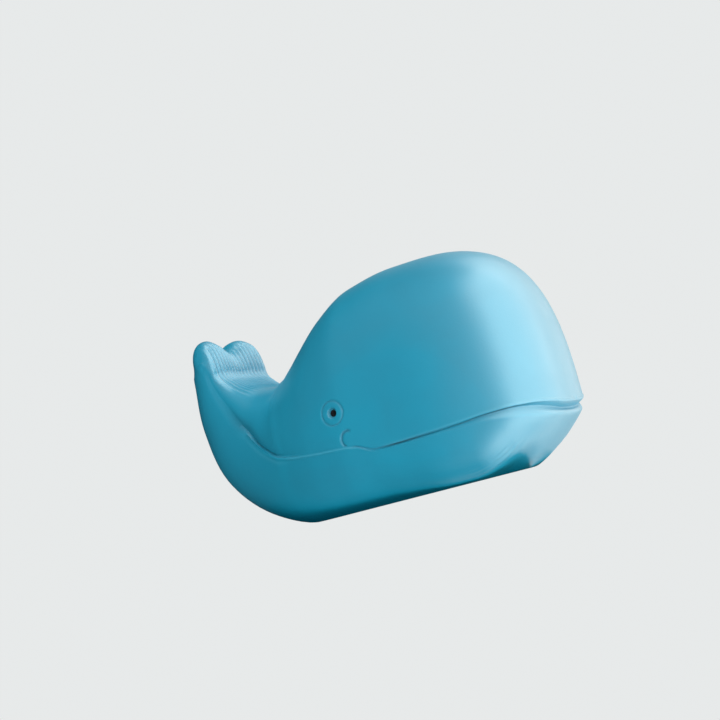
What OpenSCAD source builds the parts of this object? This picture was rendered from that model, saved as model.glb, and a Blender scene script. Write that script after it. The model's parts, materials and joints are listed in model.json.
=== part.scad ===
// Squeaky whale bath toy: a hollow one-piece rubber body, two pupils and a reed squeaker in the belly.
// It stands on its flat belly. Millimetres, origin in the middle of the footprint,
// +X to the snout, +Y to the whale's left, +Z up.

/* [Body] */
// Overall length, snout to rump
body_l = 126; // [112:1:140]
// Overall width across the cheeks
body_w = 72; // [62:1:82]
// Height of the crown of the head
head_h = 73; // [66:1:80]
// Height of the spine that the cross-sections are strung on
spine_h = 38; // [35:0.5:41]
// Height of the mouth line at the snout
mouth_h = 16.4; // [15:0.2:18]
// Length over which the crown rises from the snout
dome_l = 42; // [36:1:46]
// Length over which the cheeks widen from the snout
snout_l = 42; // [36:1:46]
// Length over which the chin drops to the belly
chin_l = 24; // [20:1:28]
// Depth of belly that the flat base cuts off
base_cut = 1; // [0.6:0.1:1.4]
// Thickness of the rubber wall
wall = 2.8; // [2.2:0.1:3.6]
// Thickness of the rubber behind the snout
snout_wall = 4; // [3:0.2:5]

/* [Mouth] */
// Overhang of the upper lip over the lower jaw at the snout
lip = 1.8; // [1.2:0.1:2.2]
// Height of the recessed band below the upper lip at the snout
lip_band = 4; // [3:0.2:5]
// Depth below the upper lip where the band is deepest at the snout
lip_at = 1.5; // [1:0.1:2]
// Depth of the hollow on each side of the throat
throat_depth = 2.6; // [1.5:0.1:3]
// Distance of the hollow's rear end behind the snout
throat_back = 30; // [26:1:34]
// Distance of the hollow's front end behind the snout
throat_front = 7; // [5:0.5:10]
// Half width of the keel between the two hollows
keel_w = 7; // [5:0.5:9]
// Height at which the hollow ends under the mouth
throat_h = 11; // [9:0.5:13]
// Length of the ridge that bows up over the hollow, larger is flatter
bow_l = 38; // [32:1:44]

/* [Tail] */
// Height of the fluke tips
tail_h = 68; // [65:0.5:74]
// Width across the flukes
tail_w = 38; // [34:1:44]
// Radius of the bend that turns the body up into the tail
bend_r = 18; // [16:0.5:20]
// Offset of the fluke's outer face behind the spine
fluke_out = 15.5; // [14:0.5:17.5]
// Offset of the fluke's inner face behind the spine
fluke_in = 3.5; // [2:0.5:5]
// Depth of the notch between the two lobes of the fluke
notch_d = 4; // [2.5:0.5:5.5]
// How far the edges of the fluke curl towards the head
curl = 2.8; // [2:0.2:4]
// Depth of the fold where the belly panel stands proud of the flank
fold = 1.2; // [0.6:0.1:1.6]

/* [Eyes] */
// Diameter of the ink drop that makes the pupil
pupil_d = 2.2; // [1.8:0.1:2.6]
// Thickness of the ink drop
ink_t = 0.4; // [0.3:0.05:0.6]
// Diameter of the mouth of the pupil's tapered socket
socket_d = 3.2; // [2.8:0.1:3.8]
// Depth of the pupil's socket
socket_depth = 1.2; // [0.8:0.1:1.6]
// Diameter of the ring incised round the pupil
eye_ring_d = 7.6; // [6:0.1:9]
// Width of the incised ring
eye_ring_w = 0.6; // [0.4:0.1:0.9]
// Depth of the incised ring
eye_ring_depth = 0.6; // [0.4:0.1:0.9]
// Distance of the eye behind the snout
eye_back = 64.6; // [59:0.2:69]
// Height of the eye up the cheek, as an angle round the cross-section
eye_angle = 12.8; // [9:0.1:17]

/* [Squeaker] */
// Place of the squeaker along the body
squeak_x = 4; // [0:0.5:8]
// Outer diameter of the squeaker's cup
cup_d = 14; // [12:0.5:16]
// Wall of the cup
cup_wall = 1; // [0.8:0.1:1.3]
// Diameter of the cup's flange
flange_d = 18; // [17:0.5:20]
// Thickness of the cup's flange
flange_t = 1.6; // [1.2:0.1:2]
// Depth of the flange below the resting face
recess = 0.6; // [0.4:0.1:1]
// Outer diameter of the rubber neck that holds the cup
neck_d = 21; // [20:0.5:23]
// Height of the rubber neck
neck_h = 7; // [6:0.5:8]
// Width of the barb that keeps the cup in the neck
barb_w = 0.6; // [0.4:0.1:0.8]
// Thickness of the perforated cap
cap_t = 1.4; // [1:0.1:1.8]
// Diameter of the cap's air holes
hole_d = 1.6; // [1.2:0.1:2]
// Number of air holes in the ring
hole_count = 6; // [4:1:8]
// Diameter of the circle that the air holes lie on
hole_circle_d = 7; // [6:0.2:8]
// Height of the air space between cap and reed block
plenum_h = 1.2; // [0.8:0.1:1.6]
// Width of the ledge that the reed block stands on
ledge_w = 1; // [0.7:0.1:1.3]
// Gap round each press-fitted piece
fit = 0.03; // [0.02:0.01:0.05]

/* [Reed] */
// Height of the reed block
block_h = 10; // [9:0.5:12]
// Height of the wedge that holds the root of the reed
wedge_h = 2.5; // [2:0.1:3]
// Length of the reed
reed_l = 9; // [8:0.2:9.4]
// Width of the reed
reed_w = 4.4; // [3.8:0.1:5]
// Thickness of the reed
reed_t = 0.25; // [0.2:0.01:0.3]
// Running gap on each side of the reed's root
reed_play = 0.12; // [0.1:0.01:0.16]
// Width of the air channel under the reed
channel_w = 2.6; // [2:0.1:3]
// Depth of the air channel under the reed
channel_d = 2.2; // [1.6:0.1:2.6]
// Radius of the block's face, which curves away from the reed
face_r = 25; // [20:1:30]

/* [Hidden] */
$fn = 64;
eps = 0.5;

// Stations along the spine: 0 snout, 1 start of the bend, 2 end of the bend, 3 tip of the fluke.
// Each list pairs a station with a share that runs smoothly from knot to knot.
// Mouth line, belly line and tail fold are one line: its drop below the spine
seam_line = [[0, 0.985], [0.02, 0.94], [0.06, 0.9], [0.12, 0.882], [0.2, 0.893], [0.28, 0.921],
             [0.38, 0.947], [0.56, 0.967], [0.595, 0.962], [0.62, 0.927], [0.645, 0.88], [0.67, 0.85],
             [0.7, 0.826], [0.83, 0.788], [0.95, 0.735], [1.12, 0.56], [1.33, 0.36], [1.62, 0.33],
             [2, 0.42], [3, 0.48]];
// Fall of the back from the crown to the inner face of the fluke
back_fall = [[0.5, 0], [0.67, 0.06], [0.79, 0.21], [0.88, 0.39], [0.935, 0.51], [1, 0.62], [1.2, 0.68],
             [1.4, 0.74], [1.6, 0.8], [1.8, 0.9], [2, 1]];
// Rise of the underside from the belly to the outer face of the fluke
belly_rise = [[0.96, 0], [1.18, 0.13], [1.42, 0.35], [1.67, 0.68], [1.96, 0.93], [2.4, 1]];
// Taper of the width from the cheeks to the flukes
side_taper = [[0.68, 0], [0.83, 0.1], [0.92, 0.23], [1, 0.38], [1.22, 0.65], [1.46, 0.84],
              [1.72, 0.97], [1.95, 1]];
// Roundness of the upper half of the section: 2 is an ellipse, more is squarer
power_up = [[0.65, 2.5], [0.93, 2.4], [1.4, 2.6], [1.9, 3]];
// Roundness of the lower half, squarest at the jaw
power_low = [[0, 2], [0.08, 2.1], [0.16, 2.5], [0.26, 3.2], [0.38, 3.3], [0.52, 2.7], [0.66, 2.4],
             [0.92, 2.6], [1.6, 2.6], [3, 3]];
// How much of the lip each station has, how high its band is there and where the band is deepest
lip_share = [[0, 1], [0.06, 0.65], [0.135, 0.45], [0.25, 0.32], [0.385, 0.25], [0.595, 0.18], [0.66, 0]];
band_share = [[0, 1], [0.06, 0.95], [0.135, 0.75], [0.19, 0.6], [0.25, 0.5], [0.66, 0.4]];
deep_share = [[0, 1], [0.03, 0.73], [0.1, 0.4]];
// How much of the fold and of the curl each station has
fold_share = [[0.68, 0], [0.86, 0.05], [0.92, 0.3], [1, 0.8], [1.1, 1], [1.45, 1], [1.8, 0.6],
              [2.3, 0.2], [3, 0]];
curl_share = [[1.1, 0], [1.4, 0.15], [1.7, 0.5], [2.05, 1]];
// Outline of the fluke from its middle to its edge, and how fast the lobes grow
lobe_share = [[0, 0], [0.15, 0.25], [0.35, 0.8], [0.55, 1], [0.8, 0.7], [0.92, 0.15], [1, -1]];
lobe_power = 1.5;
// Powers of the noses: crown, cheeks and chin
dome_power = 3.1;
snout_power = 2.5;
chin_power = 1.45;
// Height above the seam where the fold is deepest, and height over which it fades out
fold_at = 0.4 * fold;
fold_fade = 3 * fold;
// Foot of the ridge over the throat's hollow: its distance ahead of the hollow's rear end and its height
bow_foot = [0.067 * throat_back, 0.09 * throat_h];
// Width of the hollow's steep edge below the ridge, and how fast its depth dies away below that
throat_edge = 0.92 * throat_depth;
throat_fade = 1.54 * throat_depth;
// Lengths over which the hollow grows in at its rear, fades at its front and grows out of the keel
throat_in = 0.27 * throat_back;
throat_out = 0.4 * throat_back;
keel_fade = 1.43 * keel_w;
// Height up to which the hollow keeps its full depth, and how far its edge reaches over the ridge
throat_low = 0.18 * throat_h;
throat_lead = 0.4 * throat_depth;
// Direction in which the hollow is pushed in: back, towards the keel and up
throat_push = [-0.35, 0.75, 0.5];
// Station where the lobes begin, and power of the fluke's rounded edge
lobe_from = 1.7;
edge_power = 2.3;
edge_round = 0.98;
// Stations between which the hollow closes, and the angle of its last ring on the rounded end
hollow_from = 1.35;
hollow_to = 1.72;
hollow_last = 75;

// Grids of the outer skin and of the hollow: steps in each quarter of a section, then numbers of
// stations in the snout, in the body, in the bend and in the fluke, or where the hollow closes
skin_steps = 12;
skin_counts = [16, 16, 16, 9];
hollow_steps = 6;
hollow_counts = [7, 8, 4, 5];
seam_bias = 1.5;
snout_to = 0.4;
snout_crowd = 2.2;

front_x = body_l / 2;
rump_reach = max([for (u = [1:0.05:2]) (bend_r + belly_depth(u, base_cut)) * sin(90 * (u - 1))]);
straight_l = body_l - rump_reach;
rise_l = tail_h - notch_d - spine_h - bend_r;
eye_u = eye_back / straight_l;

// Facets round the eyes and round the block's curved face
eye_fn = 40;
face_fn = 128;
// Height of the pupil's crown and the steps that round it
pupil_crown = ink_t / 3;
crown_steps = 4;

cap_z = recess;
plenum_z = cap_z + cap_t;
ledge_z = plenum_z + plenum_h;
cup_top = ledge_z + block_h + cup_wall;
cup_bore_r = cup_d / 2 - cup_wall;
slot_half = reed_t / 2 + reed_play;
wedge_top = ledge_z + wedge_h;
reed_z = ledge_z + 2 * reed_play;
channel_top = reed_z + reed_l - cup_wall;
skin_blue = "#3498c0";
ink_black = "#1c1c1e";
cup_white = "#ece8dc";
cap_white = "#f4f1e8";
block_cream = "#d9d2be";
reed_amber = "#c9b787";
wedge_grey = "#b9b8b2";

function clamp(t) = min(1, max(0, t));
function mix(a, b, t) = a + (b - a) * t;
function chord(k, i) = (k[i + 1][1] - k[i][1]) / (k[i + 1][0] - k[i][0]);

// Slope at a knot: the harmonic mean of its two chords, or level at a peak and at the ends
function slope(k, i) =
    i == 0 || i == len(k) - 1 ? 0 :
    let (a = chord(k, i - 1), b = chord(k, i))
    a * b <= 0 ? 0 : 2 * a * b / (a + b);

// Smooth curve through knots, without overshoot
function curve(k, x) =
    x <= k[0][0] ? k[0][1] :
    x >= k[len(k) - 1][0] ? k[len(k) - 1][1] :
    let (i = max([for (j = [0:len(k) - 2]) if (k[j][0] <= x) j]))
    let (h = k[i + 1][0] - k[i][0], t = (x - k[i][0]) / h)
    k[i][1] * (1 + 2 * t) * pow(1 - t, 2) + h * slope(k, i) * t * pow(1 - t, 2)
    + k[i + 1][1] * t * t * (3 - 2 * t) + h * slope(k, i + 1) * t * t * (t - 1);

// Growth from 0 at the snout to 1 at a length, along a superellipse
function nose(s, l, power) = pow(1 - pow(clamp(1 - s / l), power), 1 / power);

// Depth of the underside below the spine
function belly_depth(u, cut) = mix(spine_h + cut, fluke_out, curve(belly_rise, u));

// S-curve from 0 at a to 1 at b
function ramp(v, a, b) = let (t = clamp((v - a) / (b - a))) t * t * (3 - 2 * t);

// Push of the tail fold at a height above the seam
function crease(d) = d < fold_at ? d / fold_at : exp((fold_at - d) / fold_fade);

// Push of the band below the lip: deepest at one depth below the seam and gone at another
function notch(d, at, end) = max(0, min(1, d / at, (end - d) / (end - at)));

// Share of the throat's hollow at a point: steep below the ridge, then dying away towards the keel
function throat(p) =
    let (rear = front_x - throat_back, front = front_x - throat_front)
    let (ahead = max(0, p[0] - rear - bow_foot[0]))
    let (off = (bow_foot[1] + ahead * ahead / bow_l - p[2]) / norm([1, 2 * ahead / bow_l]))
    let (length = ramp(p[0], rear, rear + throat_in) * (1 - ramp(p[0], front - throat_out, front)))
    let (height = 1 - ramp(p[2], throat_low, throat_h))
    let (width = ramp(abs(p[1]), keel_w, keel_w + keel_fade))
    let (depth = ramp(off, -throat_lead, throat_edge) * exp(min(0, throat_edge - off) / throat_fade))
    length * height * width * depth;

// Points of the cross-section at station u, set in from the skin.
// Each place is a list of side, upper or lower half and angle from the seam.
function section(u, inset, places) =
    let (turn = 90 * clamp(u - 1), s = max(0, straight_l * min(u, 1) - (inset > 0 ? snout_wall : 0)))
    let (x = front_x - straight_l * min(u, 1) - bend_r * sin(turn))
    let (z = spine_h + bend_r * (1 - cos(turn)) + rise_l * clamp(u - 2))
    let (cut = inset > 0 ? 0 : base_cut)
    let (seam0 = -(spine_h - mouth_h) * curve(seam_line, u))
    let (top0 = mix(head_h - spine_h, -fluke_in, curve(back_fall, u)) - inset)
    let (bot0 = inset - belly_depth(u, cut))
    let (top1 = mix(seam0, top0, nose(s, dome_l - inset, dome_power)))
    let (bot1 = mix(seam0, bot0, nose(s, chin_l - inset, chin_power)))
    let (wide = mix(body_w, tail_w, curve(side_taper, u)) / 2 - inset)
    let (grow = nose(s, snout_l - inset, snout_power))
    let (edge = pow(1 - edge_round * pow(clamp(u - 2), edge_power), 1 / edge_power))
    let (shut = sqrt(1 - pow(clamp((u - hollow_from) / (hollow_to - hollow_from)), 2)))
    let (thin = inset > 0 ? shut : edge, mid = (top1 + bot1) / 2)
    let (top = mix(mid, top1, thin), bot = mix(mid, bot1, thin), seam = mix(mid, seam0, thin))
    let (half = wide * grow * (inset > 0 ? shut : 1))
    let (t = clamp(1 - s / snout_l))
    let (lean = t > 0 ? half * pow(t, snout_power - 1) / snout_l / (1 - pow(t, snout_power)) : 0)
    let (lip_here = inset > 0 ? 0 : lip * curve(lip_share, u))
    let (fold_here = inset > 0 ? 0 : fold * curve(fold_share, u) * thin)
    let (band = lip_band * curve(band_share, u), deepest = lip_at * curve(deep_share, u))
    let (lobe = notch_d * pow(clamp((u - lobe_from) / (3 - lobe_from)), lobe_power))
    [for (p = places)
        let (upper = p[1] > 0, power = curve(upper ? power_up : power_low, u))
        let (far = pow(pow(cos(p[2]), power) + pow(sin(p[2]), power), -1 / power))
        let (across = far * cos(p[2]), rise = far * sin(p[2]) * (upper ? top - seam : bot - seam))
        let (deep = upper ? fold_here * crease(rise) : lip_here * notch(-rise, deepest, band))
        let (h = seam + rise + curl * curve(curl_share, u) * across * across)
        let (ext = lobe * curve(lobe_share, across))
        let (back = upper ? 0 : deep * lean / norm([1, lean]))
        let (narrow = upper ? deep : deep / norm([1, lean]))
        let (point = [x + h * sin(turn) - ext * cos(turn) - back,
                      p[0] * max(0, half * across - narrow),
                      z + h * cos(turn) + ext * sin(turn)])
        let (push = upper ? 0 : throat_depth * throat(point))
        point + push * [throat_push[0], -p[0] * throat_push[1], throat_push[2]]];

// Places round a section: right side from the back to the belly, then left side up again
function places(n) =
    let (angle = [for (i = [0:n]) 90 * pow(i / n, seam_bias)])
    [for (i = [n:-1:0]) [-1, 1, angle[i]],
     for (i = [1:n]) [-1, -1, angle[i]],
     for (i = [n - 1:-1:1]) [1, -1, angle[i]],
     for (i = [0:n - 1]) [1, 1, angle[i]]];

// Faces between rings of m points that follow one starting pole
function band_faces(rings, m) =
    [for (r = [0:rings - 2], j = [0:m - 1])
        let (a = 1 + r * m + j, b = 1 + r * m + (j + 1) % m)
        each [[a, b, a + m], [b, b + m, a + m]]];
function pole_faces(pole, first, m, flip) =
    [for (j = [0:m - 1])
        let (a = first + j, b = first + (j + 1) % m)
        flip ? [pole, a, b] : [pole, b, a]];

// Strip that closes the last ring, from the upper point to the lower one at the same angle
function edge_faces(first, n) =
    let (up_r = [for (i = [0:n]) first + n - i], low_r = [for (i = [0:n]) first + n + i])
    let (up_l = [for (i = [0:n]) first + (3 * n + i) % (4 * n)])
    let (low_l = [for (i = [0:n]) first + 3 * n - i])
    [for (i = [0:n - 1])
        each [[up_r[i], low_r[i + 1], up_r[i + 1]], [up_l[i], up_l[i + 1], low_l[i + 1]],
              if (i > 0) each [[up_r[i], low_r[i], low_r[i + 1]], [up_l[i], low_l[i + 1], low_l[i]]]]];

// Stations of the outer skin: close together at the snout and at the edge of the fluke
function skin_stations() =
    let (n = skin_counts)
    [for (i = [1:n[0]]) snout_to * pow(i / n[0], snout_crowd),
     for (i = [1:n[1]]) mix(snout_to, 1, i / n[1]),
     for (i = [1:n[2]]) mix(1, 2, i / n[2]),
     for (i = [1:n[3]]) mix(2, 3, sin(90 * i / n[3]))];
function hollow_stations() =
    let (n = hollow_counts, start = snout_wall / straight_l)
    [for (i = [1:n[0]]) mix(start, snout_to, pow(i / n[0], snout_crowd)),
     for (i = [1:n[1]]) mix(snout_to, 1, i / n[1]),
     for (i = [1:n[2]]) mix(1, hollow_from, i / n[2]),
     for (i = [1:n[3]]) mix(hollow_from, hollow_to, sin(hollow_last * i / n[3]))];

module outer_skin() {
    around = places(skin_steps);
    m = len(around);
    u_list = skin_stations();
    count = len(u_list);
    pole = section(0, 0, [[1, 1, 0]]);
    points = [each pole, for (u = u_list) each section(u, 0, around)];
    faces = [each pole_faces(0, 1, m, false), each band_faces(count, m),
             each edge_faces(1 + (count - 1) * m, skin_steps)];
    polyhedron(points, faces, convexity = 6);
}

module hollow() {
    around = places(hollow_steps);
    m = len(around);
    u_list = hollow_stations();
    count = len(u_list);
    front = section(snout_wall / straight_l, wall, [[1, 1, 0]]);
    back = section(hollow_to, wall, [[1, 1, 0]]);
    points = [each front, for (u = u_list) each section(u, wall, around), each back];
    faces = [each pole_faces(0, 1, m, false), each band_faces(count, m),
             each pole_faces(1 + count * m, 1 + (count - 1) * m, m, true)];
    polyhedron(points, faces, convexity = 6);
}

module at_squeaker(z) {
    translate([squeak_x, 0, z]) children();
}

// Moves children to the eye on one side, with +Z out of the cheek
module at_eye(side) {
    u_step = 0.01;
    angle_step = 1;
    here = section(eye_u, 0, [[side, 1, eye_angle]])[0];
    ahead = section(eye_u - u_step, 0, [[side, 1, eye_angle]])[0];
    above = section(eye_u, 0, [[side, 1, eye_angle + angle_step]])[0];
    out = side * cross(above - here, ahead - here);
    unit = out / norm(out);
    translate(here) rotate([0, acos(unit[2]), atan2(unit[1], unit[0])]) children();
}

// Tapered socket of the pupil and the ring incised round it
module eye_cut(side) {
    at_eye(side) {
        translate([0, 0, -socket_depth])
            cylinder(d1 = pupil_d + 2 * fit, d2 = socket_d, h = socket_depth, $fn = eye_fn);
        translate([0, 0, -fit]) cylinder(d = socket_d, h = socket_depth, $fn = eye_fn);
        translate([0, 0, -eye_ring_depth]) difference() {
            cylinder(d = eye_ring_d + eye_ring_w, h = 3 * eye_ring_depth, $fn = eye_fn);
            translate([0, 0, -eps])
                cylinder(d = eye_ring_d - eye_ring_w, h = 3 * eye_ring_depth + 2 * eps, $fn = eye_fn);
        }
    }
}

module below_base() {
    translate([-body_l, -body_w, -head_h]) cube([2 * body_l, 2 * body_w, head_h]);
}

module whale_body() {
    color(skin_blue) difference() {
        outer_skin();
        difference() {
            hollow();
            at_squeaker(-eps) cylinder(d = neck_d, h = neck_h + eps);
        }
        below_base();
        at_squeaker(-eps) cylinder(d = cup_d + 2 * fit, h = neck_h + 2 * eps);
        at_squeaker(-eps) cylinder(d = flange_d + 2 * fit, h = recess + flange_t + eps);
        eye_cut(-1);
        eye_cut(1);
    }
}

// Drop of black rubber ink on the socket's bottom, slightly crowned
module pupil(side) {
    crown = [for (i = [0:crown_steps]) let (a = 90 * i / crown_steps)
        [pupil_d / 2 * cos(a), ink_t - pupil_crown * (1 - sin(a))]];
    color(ink_black) at_eye(side) translate([0, 0, -socket_depth])
        rotate_extrude($fn = eye_fn) polygon([[0, 0], [pupil_d / 2, 0], each crown]);
}

module pupil_left() {
    pupil(1);
}

module pupil_right() {
    pupil(-1);
}

module squeaker_cup() {
    r = cup_d / 2;
    color(cup_white) at_squeaker(0) rotate_extrude()
        polygon([[cup_bore_r - ledge_w, plenum_z], [cup_bore_r + cup_wall / 2, plenum_z],
                 [cup_bore_r + cup_wall / 2, recess], [flange_d / 2, recess],
                 [flange_d / 2, recess + flange_t], [r, recess + flange_t], [r, neck_h],
                 [r + barb_w, neck_h], [r, neck_h + 2 * barb_w], [r, cup_top],
                 [cup_bore_r, cup_top], [cup_bore_r, ledge_z], [cup_bore_r - ledge_w, ledge_z]]);
}

module squeaker_cap() {
    r = cup_bore_r + cup_wall / 2 - fit;
    color(cap_white) at_squeaker(cap_z) difference() {
        cylinder(r = r, h = cap_t);
        for (i = [0:hole_count - 1]) {
            rotate([0, 0, 360 * i / hole_count]) translate([hole_circle_d / 2, 0, -eps])
                cylinder(d = hole_d, h = cap_t + 2 * eps);
        }
        translate([0, 0, -eps]) cylinder(d = hole_d, h = cap_t + 2 * eps);
    }
}

// Half-round block in the cup, on the side away from the flat face
module half_round(h) {
    difference() {
        cylinder(r = cup_bore_r - fit, h = h);
        translate([-cup_d, -slot_half, -eps]) cube([2 * cup_d, cup_d, h + 2 * eps]);
    }
}

module reed_block() {
    relief_z = wedge_top - ledge_z;
    color(block_cream) at_squeaker(ledge_z) difference() {
        half_round(block_h);
        translate([-channel_w / 2, -slot_half - channel_d, -eps])
            cube([channel_w, channel_d + eps, channel_top - ledge_z + eps]);
        difference() {
            translate([-cup_d, -cup_d / 2, relief_z]) cube([2 * cup_d, cup_d, block_h]);
            translate([-2 * cup_d, -slot_half - face_r, relief_z]) rotate([0, 90, 0])
                cylinder(r = face_r, h = 4 * cup_d, $fn = face_fn);
        }
    }
}

module reed() {
    color(reed_amber) at_squeaker(reed_z)
        translate([-reed_w / 2, -reed_t / 2, 0]) cube([reed_w, reed_t, reed_l]);
}

module reed_wedge() {
    color(wedge_grey) at_squeaker(ledge_z) rotate([0, 0, 180]) half_round(wedge_h);
}

whale_body();
pupil_left();
pupil_right();
squeaker_cup();
squeaker_cap();
reed_block();
reed();
reed_wedge();
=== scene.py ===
# %% [markdown]
# # A squeaky rubber whale
# The real toy is one hollow moulding of dyed natural rubber that stands on a flat belly.
# A plastic squeaker is pressed into that belly, and each pupil is a drop of black ink.
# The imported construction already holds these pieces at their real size. This lesson keeps the
# squeaker as it is and gives it a finish, and it replaces the plain body and pupils by finer
# surfaces in the same place, because the charm of the toy is in its soft moulded relief.

# %% Load the construction
import json

import bpy
import numpy as np
from mathutils import Matrix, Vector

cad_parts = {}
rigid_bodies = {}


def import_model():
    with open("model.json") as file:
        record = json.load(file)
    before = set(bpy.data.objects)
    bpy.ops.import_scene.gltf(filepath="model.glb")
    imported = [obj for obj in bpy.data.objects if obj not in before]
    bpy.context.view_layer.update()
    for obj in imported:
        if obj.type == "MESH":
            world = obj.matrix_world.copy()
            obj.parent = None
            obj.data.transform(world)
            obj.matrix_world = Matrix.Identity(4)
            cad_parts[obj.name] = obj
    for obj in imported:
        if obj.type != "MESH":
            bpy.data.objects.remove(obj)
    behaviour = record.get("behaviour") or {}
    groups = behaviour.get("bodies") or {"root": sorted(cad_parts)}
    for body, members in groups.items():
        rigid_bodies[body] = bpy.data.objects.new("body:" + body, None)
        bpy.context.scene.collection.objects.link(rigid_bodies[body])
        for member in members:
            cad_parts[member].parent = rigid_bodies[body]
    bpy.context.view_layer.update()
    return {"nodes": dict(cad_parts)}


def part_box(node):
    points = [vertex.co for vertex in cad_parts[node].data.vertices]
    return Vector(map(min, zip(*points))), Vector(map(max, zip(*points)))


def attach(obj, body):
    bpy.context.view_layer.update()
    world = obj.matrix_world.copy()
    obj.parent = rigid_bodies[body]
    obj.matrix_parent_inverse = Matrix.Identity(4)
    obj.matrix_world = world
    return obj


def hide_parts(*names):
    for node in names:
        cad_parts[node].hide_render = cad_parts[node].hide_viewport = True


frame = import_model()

MM = 0.001
body_low, body_high = (np.array(corner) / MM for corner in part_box("whale_body"))
body_l, body_w, head_h = body_high - body_low
print(f"whale body: {body_l:.1f} x {body_w:.1f} x {head_h:.1f} mm")

# %% [markdown]
# ## Curves for a form given at a few places
# A modeller sets the width or the height of a whale at a few places and lets it flow between them.
# An ordinary spline may swing past those values and put a dent in the cheek. A cubic whose slope at
# each knot is the harmonic mean of the two chords beside it never swings past, so the form stays calm.


# %% Helpers for curves
def through(knots, at):
    """Smooth curve through knots. Between two knots runs the cubic that has the right value and
    slope at both. The slope is the harmonic mean of the two chords, and level at ends and peaks."""
    place, value = np.array(knots, float).T
    step = np.diff(place)
    chord = np.diff(value) / step
    slope = np.zeros(len(place))
    product = chord[:-1] * chord[1:]
    total = np.where(product > 0, chord[:-1] + chord[1:], 1.0)
    slope[1:-1] = np.where(product > 0, 2 * product / total, 0.0)
    at = np.clip(at, place[0], place[-1])
    i = np.clip(np.searchsorted(place, at, side="right") - 1, 0, len(step) - 1)
    t = (at - place[i]) / step[i]
    rise = value[i] * (1 + 2 * t) * (1 - t) ** 2 + step[i] * slope[i] * t * (1 - t) ** 2
    return rise + value[i + 1] * t * t * (3 - 2 * t) + step[i] * slope[i + 1] * t * t * (t - 1)


def between(a, b, share):
    """Straight mix: a where the share is 0, b where it is 1."""
    return a + (b - a) * share


def swell(distance, width):
    """Bell curve: 1 at distance 0, falling to about a third at one width."""
    return np.exp(-(distance / width) ** 2)


def ramp(value, start, end):
    """0 before start, 1 after end, and an S-curve between."""
    t = np.clip((value - start) / (end - start), 0, 1)
    return t * t * (3 - 2 * t)


def span(value, start, full, fade, end):
    """0 before start, 1 from full to fade, 0 after end, and an S-curve on both sides."""
    return ramp(value, start, full) * (1 - ramp(value, fade, end))


def nose(run, length, power):
    """Growth from 0 to 1 over a length, along a superellipse: blunt at first, then level."""
    return (1 - np.clip(1 - run / length, 0, 1) ** power) ** (1 / power)


print("curve through three knots:", through([(0, 0), (1, 2), (2, 2)], np.linspace(0, 2, 5)).round(2))

# %% [markdown]
# ## The whale as one loft
# The body has no separate head, belly or tail: one skin runs from the snout, bends up behind and ends
# in two lobes. So it is made as cross-sections strung on a spine that runs straight, turns through a
# quarter circle and rises. One seam runs along each side: it is the mouth in front, a fine line above
# the belly, and the fold beside the tail. Each section has an upper and a lower half that meet there.

# %% Sizes of the loft, in millimetres, and shares along it
# Heights of the spine and the mouth, and how much too deep the belly is before it is pressed flat
spine_h, mouth_h, base_cut = 38.0, 16.4, 1.0
# How far back the head's top, its sides and the chin take to grow from the snout, and how bluntly
dome_l, dome_power = 42.0, 3.1
snout_l, snout_power = 42.0, 2.5
chin_l, chin_power = 24.0, 1.45
# Tail: height, width, bend, reach of the fluke's two faces from the spine, notch between its lobes, curl
tail_h, tail_w, bend_r = 68.0, 38.0, 18.0
fluke_out, fluke_in, notch_d, curl = 15.5, 3.5, 4.0, 2.8
# Station at which the lobes begin, how fast they grow, and how blunt the fluke's rim is
lobe_from, lobe_power, edge_power = 1.7, 1.5, 2.3
# Guards against a vanishing width and a division by zero
least_width, almost_one = 0.1, 0.9999
# Power with which the seam's step at the mouth's corner fades out over the section
seam_fade = 4

# Stations along the spine: 0 snout, 1 start of the bend, 2 end of the bend, 3 tip of the fluke
seam_line = [(0, 0.985), (0.02, 0.94), (0.06, 0.9), (0.12, 0.882), (0.2, 0.893), (0.28, 0.921),
             (0.38, 0.947), (0.56, 0.967), (0.595, 0.962), (0.62, 0.927), (0.645, 0.88), (0.67, 0.85),
             (0.7, 0.826), (0.83, 0.788), (0.95, 0.735), (1.12, 0.56), (1.33, 0.36), (1.62, 0.33),
             (2, 0.42), (3, 0.48)]
step_from, step_to = 0.4, 0.9
calm_knots = [(0.5, 0.94), (0.62, 0.9), (0.72, 0.85), (0.83, 0.788)]
calm_line = sorted(calm_knots + [knot for knot in seam_line if not step_from < knot[0] < step_to])
back_fall = [(0.5, 0), (0.67, 0.06), (0.79, 0.21), (0.88, 0.39), (0.935, 0.51), (1, 0.62), (1.2, 0.68),
             (1.4, 0.74), (1.6, 0.8), (1.8, 0.9), (2, 1)]
belly_rise = [(0.96, 0), (1.18, 0.13), (1.42, 0.35), (1.67, 0.68), (1.96, 0.93), (2.4, 1)]
side_taper = [(0.68, 0), (0.83, 0.1), (0.92, 0.23), (1, 0.38), (1.22, 0.65), (1.46, 0.84), (1.72, 0.97),
              (1.95, 1)]
power_up = [(0.65, 2.5), (0.93, 2.4), (1.4, 2.6), (1.9, 3)]
power_low = [(0, 2), (0.08, 2.1), (0.16, 2.5), (0.26, 3.2), (0.38, 3.3), (0.52, 2.7), (0.66, 2.4),
             (0.92, 2.6), (1.6, 2.6), (3, 3)]
curl_share = [(1.1, 0), (1.4, 0.15), (1.7, 0.5), (2.05, 1)]
lobe_share = [(0, 0), (0.15, 0.25), (0.35, 0.8), (0.55, 1), (0.8, 0.7), (0.92, 0.15), (1, -1)]

front_x = body_l / 2
bend_places = 21
bend_u = np.linspace(1, 2, bend_places)


def belly_depth(u):
    """Depth of the underside below the spine: the whole belly, then the outer face of the fluke."""
    return between(spine_h + base_cut, fluke_out, through(belly_rise, u))


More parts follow.
